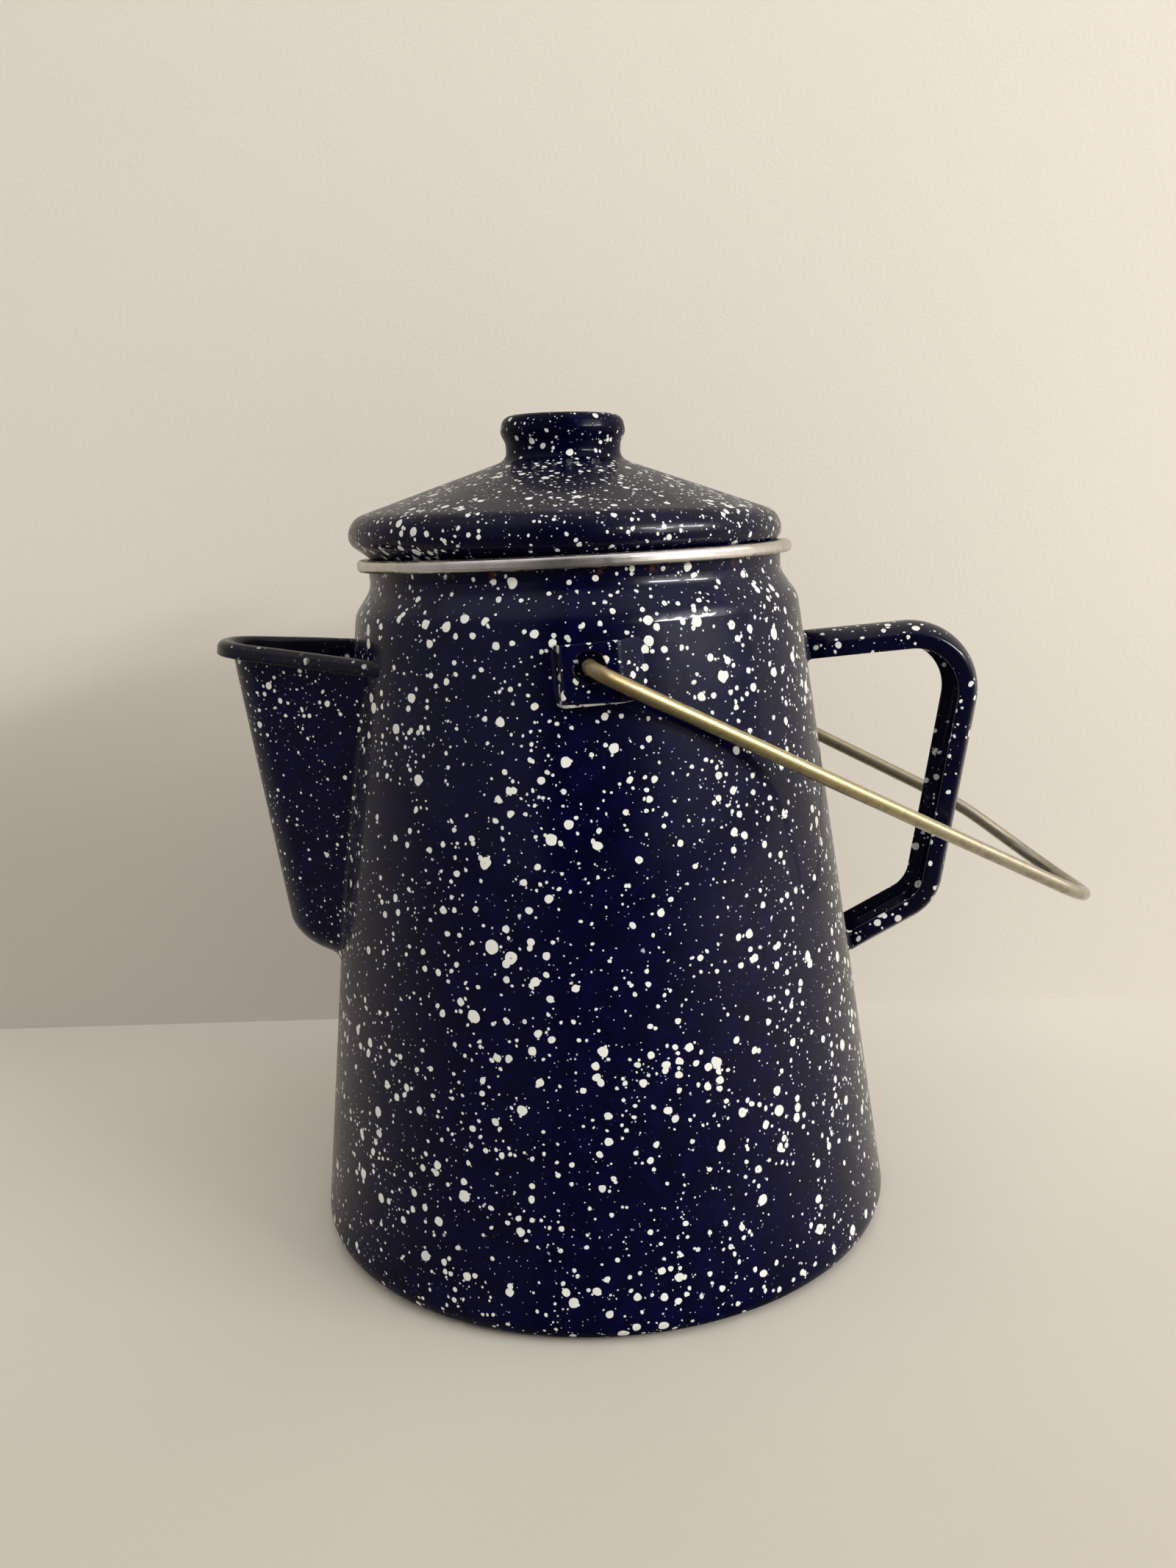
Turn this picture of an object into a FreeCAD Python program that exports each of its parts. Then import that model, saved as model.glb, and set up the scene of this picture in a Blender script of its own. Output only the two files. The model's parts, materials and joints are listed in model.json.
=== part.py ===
import FreeCAD, Part
import math
import os

# A conical enamelled steel coffee boiler with a welded spout and handle, a wire bail and a
# lift-off lid. Millimetres. +Z is up, the origin is the centre of the base on the surface it
# stands on, +X points at the handle, -X at the spout, and the bail turns about Y.

V = FreeCAD.Vector

# ---- driving dimensions ----

SHEET = 1.0                    # enamelled sheet, steel and both coats together
CUT_REACH = 120.0              # longer than anything that a cutter goes through

# Pot body: a cone with a rounded foot, a shoulder, a neck and an outward mouth flange.
BASE_R = 83.0                  # cone radius carried down to the base plane
TAPER = 0.1247                 # how much the radius shrinks per millimetre of height
FOOT_ROUND = 6.0
RIB_R = 49.0                   # a stiffening rib pressed up into the flat base
RIB_HALF_WIDTH = 3.5
RIB_RISE = 1.2
RIB_ROUND = 2.0
SHOULDER_Z = 176.3
SHOULDER_ROUND = 8.0
NECK_R = 56.4
NECK_Z = 183.0
NECK_ROUND = 6.0
NECK_FLARE = 0.2               # the neck opens by this much up to the flange
FLANGE_R = 58.3
FLANGE_TOP_Z = 190.2
FLANGE_ROUND = 0.8

# Steel rim band crimped over the mouth flange.
BAND_SHEET = 0.65
BAND_R = 59.55
BAND_TOP_Z = 190.85
BAND_LOW_Z = 187.7
BAND_INNER_R = 56.3
BAND_TUCK_R = 57.3
BAND_LOW_ROUND = 1.0
BAND_TOP_ROUND = 1.2

# Strainer: drilled holes in the body wall behind the spout.
STRAINER_HOLE_R = 2.1
STRAINER_LOW_Z = 96.0
STRAINER_PITCH_Z = 8.0
STRAINER_ROWS = 8
STRAINER_PITCH_Y = 8.5

# Spout: a rounded V in plan, pushed up along its slanted front, with an out-curled lip.
SPOUT_NOSE_X = -96.3
SPOUT_NOSE_Z = 171.0
SPOUT_NOSE_R = 14.0
SPOUT_HALF_ANGLE = math.radians(26.0)
SPOUT_FRONT_LEAN = 0.120       # outward run of the front wall per millimetre of height
MOUTH_FALL = 0.125             # fall of the lip towards the pot per millimetre
SPOUT_FOOT_X = -74.1
SPOUT_FOOT_Z = 81.5
SPOUT_FOOT_SLOPE = 0.31
SPOUT_FOOT_ROUND = 7.5
SPOUT_BACK_REACH = 44.0        # length of the straight sides, which run on into the pot
LIP_OUT = 3.4
LIP_DROP = 4.0
LIP_CREST = 0.6
LIP_SLOPE = 0.9                # the bead's outer side is this much lower than its crest
LIP_ROOT = 3.5                 # how far down the wall the curled sheet overlaps
LIP_ROUND = 2.2

# Handle: a pressed channel, open towards the pot, with a domed outer face.
HANDLE_WIDTH = 16.6
HANDLE_DEPTH = 7.4
HANDLE_SHEET = 1.1
HANDLE_CROWN = 3.0             # the dome's rise above the ridges along its edges
HANDLE_CROWN_ROUND = 10.0
HANDLE_EDGE_ROUND = 2.0
HANDLE_TOP_Z = 164.9           # outer face where the top strap leaves the body
HANDLE_TOP_CORNER = (117.5, 167.5)
HANDLE_TOP_ROUND = 20.0
HANDLE_LOW_CORNER = (101.5, 83.2)
HANDLE_LOW_ROUND = 16.5
HANDLE_LOW_Z = 69.6            # outer face where the bottom strap meets the body
HANDLE_TUCK = 6.0              # both straps run on into the body before they are trimmed

# Bail ears: pressed pockets that stand off the wall, one each side.
EAR_STANDOFF = 3.7
EAR_SHEET = 1.1
EAR_LOW_Z = 156.2
EAR_HEIGHT = 14.6
EAR_FRONT_LEFT = -7.0
EAR_FRONT_RIGHT = 7.2
EAR_FOOT_LEFT = -8.7
EAR_FOOT_RIGHT = 13.8
EAR_FOOT_DEPTH = 2.2           # how far the flanks run below the tangent plane before trimming
EAR_LEFT_ROUND = 1.4
EAR_RIGHT_ROUND = 2.4
EAR_ROLL = 2.5                 # degrees the ear sits askew
EAR_HOLE_R = 3.8

# Bail: one round wire, hooked into both ears.
WIRE_R = 1.9
PIVOT_Z = 165.2
BAIL_HALF_SPAN = 70.4
BAIL_LENGTH = 163.9
BAIL_KNEE = (11.0, 68.9)       # the arms run past the ears to here, then close in
BAIL_KNEE_ROUND = 18.0
BAIL_END_HALF = 19.4           # half the width at the end, before it is rounded
BAIL_END_ROUND = 24.0
BAIL_ELBOW_ROUND = 4.2
BAIL_REST_ANGLE = 29.2         # degrees below level, where the arms bear on the ears' low corners
BAIL_TIP_Y = 63.5              # the hooked ends stop short of the body wall
REAR_ARM_BENDS = [(82.0, 4.3), (132.8, 5.2)]   # how far along the rear arm is bent up, and how much
REAR_KNEE_LIFT = 0.5
REAR_ARM_ROUND = 90.0

# Lid: cone, rounded shoulder, tucked-in seat and a collar that drops into the mouth.
LID_SHOULDER_R = 59.1
LID_SHOULDER_ROUND = 6.0
LID_CROWN_R = 13.4
LID_CROWN_Z = 215.7
LID_CROWN_ROUND = 2.5
LID_SLOPE = 0.347
LID_TUCK_Z = 193.6
LID_TUCK_ROUND = 3.6
COLLAR_TOP_R = 52.6
COLLAR_TOP_Z = 188.9
COLLAR_LOW_R = 52.1
COLLAR_LOW_Z = 181.0
COLLAR_ROUND = 1.5
VENT_R = 2.0                   # lets hot air out of the hollow knob

# The lid is a loose fit and lies a little askew on the rim.
LID_TILT = 1.6                 # degrees, raised on the spout's side
LID_TILT_Z = 196.0
LID_SHIFT_X = -2.2

# Knob: a hollow pressed cap welded to the lid's crown.
KNOB_FOOT_R = 21.5
KNOB_NECK_R = 15.6
KNOB_NECK_Z = 218.6
KNOB_MAX_R = 17.1
KNOB_MAX_Z = 221.6
KNOB_EDGE_R = 16.2
KNOB_EDGE_Z = 226.5
KNOB_TOP_Z = 227.3
KNOB_INNER_R = 14.4
KNOB_HEEL = 0.4                # the waist starts this far above the lid's cone
KNOB_ROUNDS = [2.6, 3.0, 2.6, 2.8]
KNOB_INNER_EDGE = (14.6, 225.3)
KNOB_INNER_ROUNDS = [1.6, 2.0, 0]


# ---- helpers ----

def rounded_edges(corners, radii):
    """Straight runs between the corners, with each inner corner rounded by its radius."""
    edges = []
    start = corners[0]
    for i in range(1, len(corners) - 1):
        corner = corners[i]
        back = (corners[i - 1] - corner).normalize()
        ahead = (corners[i + 1] - corner).normalize()
        radius = radii[i - 1]
        if radius <= 0:
            edges.append(Part.LineSegment(start, corner).toShape())
            start = corner
            continue
        half = back.getAngle(ahead) / 2
        reach = radius / math.tan(half)
        first = corner + back * reach
        last = corner + ahead * reach
        bisector = (back + ahead).normalize()
        middle = corner + bisector * (radius / math.sin(half) - radius)
        if (first - start).Length > 1e-6:
            edges.append(Part.LineSegment(start, first).toShape())
        edges.append(Part.Arc(first, middle, last).toShape())
        start = last
    edges.append(Part.LineSegment(start, corners[-1]).toShape())
    return edges


def rounded_wire(corners, radii):
    return Part.Wire(rounded_edges(corners, radii))


def section(points):
    """Corners in the XZ plane from (radius, height) pairs."""
    return [V(x, 0, z) for x, z in points]


def sheet_face(wire, thickness):
    """The strip between a planar open wire and its parallel at the given distance."""
    return wire.makeOffset2D(thickness, 0, True, True, False)


def turned(face):
    return face.revolve(V(0, 0, 0), V(0, 0, 1), 360)


def cone_r(z):
    return BASE_R - TAPER * z


def swept(path, profile, binormal=None):
    pipe = Part.BRepOffsetAPI.MakePipeShell(path)
    if binormal is not None:
        pipe.setBiNormalMode(binormal)
    pipe.add(profile)
    pipe.build()
    pipe.makeSolid()
    return pipe.shape()


# ---- pot body and rim band ----

def body_corners():
    return [
        (RIB_R - RIB_HALF_WIDTH - RIB_RISE, 0),
        (RIB_R - RIB_HALF_WIDTH, RIB_RISE),
        (RIB_R + RIB_HALF_WIDTH, RIB_RISE),
        (RIB_R + RIB_HALF_WIDTH + RIB_RISE, 0),
        (BASE_R, 0),
        (cone_r(SHOULDER_Z), SHOULDER_Z),
        (NECK_R, NECK_Z),
        (NECK_R + NECK_FLARE, FLANGE_TOP_Z - SHEET),
        (FLANGE_R, FLANGE_TOP_Z - SHEET),
    ]


BODY_ROUNDS = [RIB_ROUND] * 4 + [FOOT_ROUND, SHOULDER_ROUND, NECK_ROUND, FLANGE_ROUND]


def body_envelope():
    """Everything inside the pot's outer skin, used to trim what is welded to it."""
    points = [(0, 0)] + body_corners()[:-1]
    wire = rounded_edges(section(points), BODY_ROUNDS[:-1])
    top = wire[-1].Vertexes[-1].Point
    wire.append(Part.LineSegment(top, V(0, 0, top.z)).toShape())
    wire.append(Part.LineSegment(V(0, 0, top.z), V(0, 0, 0)).toShape())
    return turned(Part.Face(Part.Wire(wire)))


def strainer_holes():
    """Staggered rows of drill cores through the wall behind the spout."""
    holes = []
    for row in range(STRAINER_ROWS):
        z = STRAINER_LOW_Z + row * STRAINER_PITCH_Z
        count = 3 if row % 2 == 0 else 4
        for i in range(count):
            y = (i - (count - 1) / 2) * STRAINER_PITCH_Y
            holes.append(Part.makeCylinder(STRAINER_HOLE_R, BASE_R, V(-BASE_R, y, z), V(1, 0, 0)))
    return Part.Compound(holes)


def pot_body():
    points = [(0, 0)] + body_corners()
    wire = rounded_wire(section(points), BODY_ROUNDS)
    shell = turned(sheet_face(wire, SHEET))
    return shell.cut(strainer_holes())


def rim_band():
    outer = [
        (BAND_TUCK_R, BAND_LOW_Z),
        (BAND_R, BAND_LOW_Z),
        (BAND_R, BAND_TOP_Z),
        (BAND_INNER_R, BAND_TOP_Z),
    ]
    wire = rounded_wire(section(outer), [BAND_LOW_ROUND, BAND_TOP_ROUND])
    return turned(sheet_face(wire, BAND_SHEET))


# ---- spout ----

def mouth_point(along, side):
    """A point in the plane of the spout's mouth: run back from the nose, and to one side."""
    return V(SPOUT_NOSE_X + along, side, SPOUT_NOSE_Z - MOUTH_FALL * along)


def spout_wire(inset):
    """The rounded V in the mouth plane, drawn from the rear side round the nose to the front."""
    radius = SPOUT_NOSE_R - inset
    slope = math.sqrt(1 + MOUTH_FALL ** 2)
    centre = SPOUT_NOSE_R
    sine = math.sin(SPOUT_HALF_ANGLE)
    cosine = math.cos(SPOUT_HALF_ANGLE)
    touch = (centre - radius * sine, radius * cosine)
    end = (touch[0] + SPOUT_BACK_REACH * cosine, touch[1] + SPOUT_BACK_REACH * sine)

    def place(point, sign):
        return mouth_point(point[0] / slope, sign * point[1])

    nose = mouth_point((centre - radius) / slope, 0)
    return Part.Wire([
        Part.LineSegment(place(end, 1), place(touch, 1)).toShape(),
        Part.Arc(place(touch, 1), nose, place(touch, -1)).toShape(),
        Part.LineSegment(place(touch, -1), place(end, -1)).toShape(),
    ])


def spout_core(inset, floor_lift, foot_round, overshoot):
    """A solid prism of the V with the slanted, rounded foot."""
    wire = spout_wire(inset)
    ends = [wire.OrderedVertexes[0].Point, wire.OrderedVertexes[-1].Point]
    closed = Part.Wire(wire.Edges + [Part.LineSegment(ends[1], ends[0]).toShape()])
    up = V(-SPOUT_FRONT_LEAN, 0, 1)
    face = Part.Face(closed)
    face.translate(up * overshoot)
    prism = face.extrude(up * -(CUT_REACH + overshoot))
    lean = math.atan(SPOUT_FOOT_SLOPE)
    floor = Part.makeBox(CUT_REACH, CUT_REACH, CUT_REACH, V(-CUT_REACH / 2, -CUT_REACH / 2, -CUT_REACH))
    floor.rotate(V(0, 0, 0), V(0, 1, 0), math.degrees(lean))
    floor.translate(V(SPOUT_FOOT_X, 0, SPOUT_FOOT_Z + floor_lift))
    core = prism.cut(floor)
    rim = [e for e in core.Edges if is_foot_edge(e, floor_lift)]
    return core.makeFillet(foot_round, rim)


def is_foot_edge(edge, floor_lift):
    """True for the nose and side edges of the slanted foot, not for the one inside the pot."""
    low = SPOUT_FOOT_Z + floor_lift
    points = [edge.valueAt(p) for p in edge.ParameterRange] + [edge.CenterOfMass]
    on_floor = all(
        abs(p.z - low + SPOUT_FOOT_SLOPE * (p.x - SPOUT_FOOT_X)) < 0.6 for p in points)
    span = edge.BoundBox
    inside_pot = span.XLength < 1e-3 and span.YLength > SPOUT_NOSE_R
    return on_floor and not inside_pot


def spout_lip():
    """The sheet at the mouth, curled outwards and down into a flattened bead."""
    path = spout_wire(0.0)
    start = path.OrderedVertexes[0].Point
    ahead = (path.OrderedVertexes[1].Point - start).normalize()
    normal = V(MOUTH_FALL, 0, 1).normalize()
    outward = normal.cross(ahead) * -1
    if outward.y < 0:
        outward = outward * -1
    corners = [
        (-SHEET, -LIP_ROOT),
        (-SHEET, LIP_CREST),
        (LIP_OUT, LIP_CREST - LIP_SLOPE),
        (LIP_OUT, -LIP_DROP),
    ]
    points = [start + outward * a + normal * b for a, b in corners]
    strip = rounded_wire(points, [LIP_ROUND, LIP_ROUND])
    face = sheet_face(strip, SHEET)
    if not face.isInside(start - outward * SHEET / 2 - normal * 2, 1e-3, True):
        face = sheet_face(strip, -SHEET)
    return swept(path, face.OuterWire, normal)


def spout():
    outer = spout_core(0.0, 0.0, SPOUT_FOOT_ROUND, 0.0)
    inner = spout_core(SHEET, SHEET, SPOUT_FOOT_ROUND - SHEET, 12.0)
    wall = outer.cut(inner)
    shape = wall.fuse(spout_lip())
    return shape.cut(body_envelope()).removeSplitter()


# ---- handle ----

def handle_path():
    inside = HANDLE_TUCK
    top_slope = (HANDLE_TOP_CORNER[1] - HANDLE_TOP_Z) / (HANDLE_TOP_CORNER[0] - cone_r(HANDLE_TOP_Z))
    low_r = cone_r(HANDLE_LOW_Z)
    low_slope = (HANDLE_LOW_CORNER[1] - HANDLE_LOW_Z) / (HANDLE_LOW_CORNER[0] - low_r)
    start = (cone_r(HANDLE_TOP_Z) - inside, HANDLE_TOP_Z - top_slope * inside)
    end = (low_r - inside, HANDLE_LOW_Z - low_slope * inside)
    corners = section([start, HANDLE_TOP_CORNER, HANDLE_LOW_CORNER, end])
    return rounded_wire(corners, [HANDLE_TOP_ROUND, HANDLE_LOW_ROUND])


def handle():
    path = handle_path()
    start = path.OrderedVertexes[0].Point
    ahead = (path.OrderedVertexes[1].Point - start).normalize()
    down = V(0, 1, 0).cross(ahead)
    if down.z > 0:
        down = down * -1
    half = HANDLE_WIDTH / 2
    outline = [
        (half, HANDLE_DEPTH), (half, HANDLE_CROWN), (half / 2, 0),
        (-half / 2, 0), (-half, HANDLE_CROWN), (-half, HANDLE_DEPTH),
    ]
    corners = [start + V(0, side, 0) + down * drop for side, drop in outline]
    strip = rounded_wire(corners, [HANDLE_EDGE_ROUND, HANDLE_CROWN_ROUND, HANDLE_CROWN_ROUND,
                                   HANDLE_EDGE_ROUND])
    face = sheet_face(strip, HANDLE_SHEET)
    if face.BoundBox.YLength > HANDLE_WIDTH + 0.1:
        face = sheet_face(strip, -HANDLE_SHEET)
    channel = swept(path, face.OuterWire, V(0, 1, 0))
    return channel.cut(body_envelope())


# ---- bail ears and bail ----

def front_ear():
    """The ear on the -Y side, pressed as a strip and trimmed to the curved wall."""
    tangent_y = -cone_r(EAR_LOW_Z)
    corners = [
        V(EAR_FOOT_LEFT, tangent_y + EAR_FOOT_DEPTH, EAR_LOW_Z),
        V(EAR_FRONT_LEFT, tangent_y - EAR_STANDOFF, EAR_LOW_Z),
        V(EAR_FRONT_RIGHT, tangent_y - EAR_STANDOFF, EAR_LOW_Z),
        V(EAR_FOOT_RIGHT, tangent_y + EAR_FOOT_DEPTH, EAR_LOW_Z),
    ]
    strip = rounded_wire(corners, [EAR_LEFT_ROUND, EAR_RIGHT_ROUND])
    face = sheet_face(strip, EAR_SHEET)
    if face.BoundBox.YMin < tangent_y - EAR_STANDOFF - 0.1:
        face = sheet_face(strip, -EAR_SHEET)
    blank = face.extrude(V(0, TAPER, 1) * EAR_HEIGHT)
    blank.rotate(V(0, tangent_y, PIVOT_Z), V(0, -1, 0), EAR_ROLL)
    hole = Part.makeCylinder(EAR_HOLE_R, BASE_R, V(0, -BASE_R, PIVOT_Z), V(0, 1, 0))
    return blank.cut(hole).cut(body_envelope())


def rear_ear():
    """The same stamping turned half round the pot."""
    ear = front_ear()
    ear.rotate(V(0, 0, 0), V(0, 0, 1), 180)
    return ear


def bail_point(along, side, lift=0.0):
    """A point of the bail: distance from the pivot, side, and height above its flat plane."""
    angle = math.radians(BAIL_REST_ANGLE)
    ahead = V(math.cos(angle), 0, -math.sin(angle))
    above = V(math.sin(angle), 0, math.cos(angle))
    return V(0, side, PIVOT_Z) + ahead * along + above * lift


def bail_wire():
    close_in = (BAIL_END_HALF - BAIL_KNEE[1]) / (BAIL_LENGTH - BAIL_KNEE[0])
    bends = [
        bail_point(along, BAIL_KNEE[1] + close_in * (along - BAIL_KNEE[0]), lift)
        for along, lift in reversed(REAR_ARM_BENDS)
    ]
    corners = [
        bail_point(0, -BAIL_TIP_Y),
        bail_point(0, -BAIL_HALF_SPAN),
        bail_point(BAIL_KNEE[0], -BAIL_KNEE[1]),
        bail_point(BAIL_LENGTH, -BAIL_END_HALF),
        bail_point(BAIL_LENGTH, BAIL_END_HALF),
        *bends,
        bail_point(BAIL_KNEE[0], BAIL_KNEE[1], REAR_KNEE_LIFT),
        bail_point(0, BAIL_HALF_SPAN),
        bail_point(0, BAIL_TIP_Y),
    ]
    radii = [
        BAIL_ELBOW_ROUND,
        BAIL_KNEE_ROUND,
        BAIL_END_ROUND,
        BAIL_END_ROUND,
        REAR_ARM_ROUND,
        REAR_ARM_ROUND,
        BAIL_KNEE_ROUND,
        BAIL_ELBOW_ROUND,
    ]
    path = rounded_wire(corners, radii)
    ring = Part.Wire(Part.Circle(corners[0], V(0, 1, 0), WIRE_R).toShape())
    return swept(path, ring)


# ---- lid and knob ----

def lid_cone_z(radius):
    return LID_CROWN_Z - LID_SLOPE * (radius - LID_CROWN_R)


def seated(shape):
    """Move a piece drawn about the pot's axis to where the loose lid lies on the rim."""
    shape.rotate(V(0, 0, LID_TILT_Z), V(0, 1, 0), LID_TILT)
    shape.translate(V(LID_SHIFT_X, 0, 0))
    return shape


def lid_shell():
    corners = [
        (0, LID_CROWN_Z),
        (LID_CROWN_R, LID_CROWN_Z),
        (LID_SHOULDER_R, lid_cone_z(LID_SHOULDER_R)),
        (LID_SHOULDER_R, LID_TUCK_Z),
        (COLLAR_TOP_R, COLLAR_TOP_Z),
        (COLLAR_LOW_R, COLLAR_LOW_Z),
    ]
    rounds = [LID_CROWN_ROUND, LID_SHOULDER_ROUND, LID_TUCK_ROUND, COLLAR_ROUND]
    shell = turned(sheet_face(rounded_wire(section(corners), rounds), -SHEET))
    vent = Part.makeCylinder(VENT_R, 4 * SHEET, V(0, 0, LID_CROWN_Z - 2 * SHEET))
    return seated(shell.cut(vent))


def lid_knob():
    """A cap with a waist: its foot follows the lid's cone and its underside is hollow."""
    outer = rounded_edges(section([
        (KNOB_FOOT_R, lid_cone_z(KNOB_FOOT_R)),
        (KNOB_NECK_R, lid_cone_z(KNOB_NECK_R) + KNOB_HEEL),
        (KNOB_NECK_R, KNOB_NECK_Z),
        (KNOB_MAX_R, KNOB_MAX_Z),
        (KNOB_EDGE_R, KNOB_EDGE_Z),
        (0, KNOB_TOP_Z),
    ]), KNOB_ROUNDS)
    ceiling = KNOB_TOP_Z - SHEET
    inner = rounded_edges(section([
        (0, ceiling),
        KNOB_INNER_EDGE,
        (KNOB_INNER_R, KNOB_NECK_Z),
        (KNOB_INNER_R, lid_cone_z(KNOB_INNER_R)),
        (KNOB_FOOT_R, lid_cone_z(KNOB_FOOT_R)),
    ]), KNOB_INNER_ROUNDS)
    axis = Part.LineSegment(V(0, 0, KNOB_TOP_Z), V(0, 0, ceiling)).toShape()
    return seated(turned(Part.Face(Part.Wire(outer + [axis] + inner))))


# ---- write one STEP file per piece ----

def largest_solid(shape):
    return max(shape.Solids, key=lambda solid: solid.Volume)


def main():
    os.makedirs("parts", exist_ok=True)
    pieces = {
        "pot_body": pot_body(),
        "rim_band": rim_band(),
        "spout": spout(),
        "handle": handle(),
        "bail_ear_front": front_ear(),
        "bail_ear_rear": rear_ear(),
        "bail_wire": bail_wire(),
        "lid_shell": lid_shell(),
        "lid_knob": lid_knob(),
    }
    for name, shape in pieces.items():
        solid = largest_solid(shape)
        box = solid.BoundBox
        print(name, "solids", len(shape.Solids), "valid", solid.isValid(),
              "volume %.0f" % solid.Volume,
              "x %.1f..%.1f y %.1f..%.1f z %.1f..%.1f" % (
                  box.XMin, box.XMax, box.YMin, box.YMax, box.ZMin, box.ZMax))
        solid.exportStep("parts/" + name + ".step")


main()
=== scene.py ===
import json
import math

import bmesh
import bpy
from mathutils import Matrix, Vector, noise


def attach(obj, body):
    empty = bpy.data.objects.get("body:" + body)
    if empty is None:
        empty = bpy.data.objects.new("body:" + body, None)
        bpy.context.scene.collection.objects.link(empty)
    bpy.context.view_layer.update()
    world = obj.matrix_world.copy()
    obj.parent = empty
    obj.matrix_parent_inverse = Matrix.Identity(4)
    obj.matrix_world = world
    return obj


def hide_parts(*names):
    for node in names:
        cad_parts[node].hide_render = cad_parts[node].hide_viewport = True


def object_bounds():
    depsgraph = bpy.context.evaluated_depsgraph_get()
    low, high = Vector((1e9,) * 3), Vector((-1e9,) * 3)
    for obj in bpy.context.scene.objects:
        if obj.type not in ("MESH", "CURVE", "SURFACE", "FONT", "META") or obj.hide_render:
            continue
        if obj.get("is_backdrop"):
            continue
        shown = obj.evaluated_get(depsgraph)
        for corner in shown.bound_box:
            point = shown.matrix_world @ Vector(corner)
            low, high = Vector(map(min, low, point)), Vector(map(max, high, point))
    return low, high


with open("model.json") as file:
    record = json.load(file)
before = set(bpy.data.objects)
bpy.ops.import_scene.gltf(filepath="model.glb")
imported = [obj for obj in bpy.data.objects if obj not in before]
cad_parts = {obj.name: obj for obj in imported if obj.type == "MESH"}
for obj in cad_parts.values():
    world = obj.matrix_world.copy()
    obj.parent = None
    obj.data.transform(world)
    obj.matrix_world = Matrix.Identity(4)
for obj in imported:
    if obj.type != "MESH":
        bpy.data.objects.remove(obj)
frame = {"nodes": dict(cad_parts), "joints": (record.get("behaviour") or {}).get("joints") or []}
cad_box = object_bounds()

# Outlines below are in millimetres, in the part's own frame: +Z up, the origin at the centre of
# the base, the spout on -X and the handle on +X. Meshes, lights and textures are in metres.
MM = 0.001

# ---- driving dimensions ----

BASE_R = 83.0                  # the body's cone: radius at the base, and its loss per height
TAPER = 0.1247
SHEET = 1.0
EMBED = 0.5                    # how deep welded pieces run into the body's wall

SPOUT_NOSE = (-96.3, 171.0)
SPOUT_NOSE_R = 14.0
SPOUT_MIN_R = 0.4
SPOUT_HALF_ANGLE = math.radians(26.0)
SPOUT_LEAN = 0.120
SPOUT_MOUTH_FALL = 0.125
SPOUT_FOOT = (-74.1, 81.5)
SPOUT_FOOT_SLOPE = 0.31
SPOUT_FOOT_ROUND = 6.9
SPOUT_FLOOR_END = 12.8         # the floor's outline has shrunk to nothing at this inset
SPOUT_INSIDE = (-68.0, 0, 125.0)   # a point within the spout, which its walls face away from
WELD_SPOUT_R = 3.2

# The curled lip's section: (outward, above the mouth) corners, and how far each is rounded.
# It takes over from the plain wall at LIP_DROP below the mouth.
LIP_DROP = 6.0
LIP_CORNERS = [
    (0, -LIP_DROP), (0, -0.42), (2.4, -1.2), (2.4, -4.0), (3.4, -4.0), (3.4, -0.3), (-1, 0.6),
    (-1, -LIP_DROP),
]
LIP_ROUNDS = [1.2, 1.1, 0.48, 0.48, 2.2, 2.1]

HANDLE_WIDTH = 16.6
HANDLE_DEPTH = 7.4
HANDLE_CROWN = 3.0             # the outer face stands this much above its edges
HANDLE_SHEET = 1.1
HANDLE_TOP_Z = 164.9
HANDLE_TOP_CORNER = (117.5, 167.5)
HANDLE_TOP_ROUND = 20.0
HANDLE_LOW_CORNER = (101.5, 83.2)
HANDLE_LOW_ROUND = 16.5
HANDLE_LOW_Z = 69.6
HANDLE_GAP = (90.0, 0, 125.0)  # a point in the finger gap, which the strap's open side faces
WELD_HANDLE_R = 1.5

EAR_STANDOFF = 3.7
EAR_LOW_Z = 156.2
EAR_HEIGHT = 14.6
EAR_FRONT = (-7.0, 7.2)
EAR_FOOT = (-8.7, 13.8)
EAR_FOOT_DEPTH = 2.2
EAR_ROLL = math.radians(2.5)
WELD_EAR_R = 1.1

WIRE_R = 1.9
BAIL_HALF_SPAN = 70.4
BAIL_LENGTH = 163.9
BAIL_KNEE = (11.0, 68.9)
BAIL_KNEE_ROUND = 18.0
BAIL_END_HALF = 19.4
BAIL_END_ROUND = 24.0
BAIL_ELBOW_ROUND = 4.2
BAIL_REST_ANGLE = math.radians(29.2)
BAIL_TIP_Y = 63.5
REAR_ARM_BENDS = [(82.0, 4.3), (132.8, 5.2)]   # where along it the rear arm is bent up, and how far
REAR_ARM_ROUND = 90.0
REAR_KNEE_LIFT = 0.5

LID_CROWN = (13.4, 215.7)
LID_SLOPE = 0.347
LID_TILT = math.radians(1.6)
LID_TILT_Z = 196.0
LID_SHIFT_X = -2.2

PIVOT_Z = frame["joints"][0]["pos_m"][2] / MM


# ---- mesh helpers ----

def cone_r(z):
    return BASE_R - TAPER * z


def cone_normal(point):
    flat = Vector((point.x, point.y, 0)).normalized()
    return Vector((flat.x, flat.y, TAPER)).normalized()


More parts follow.
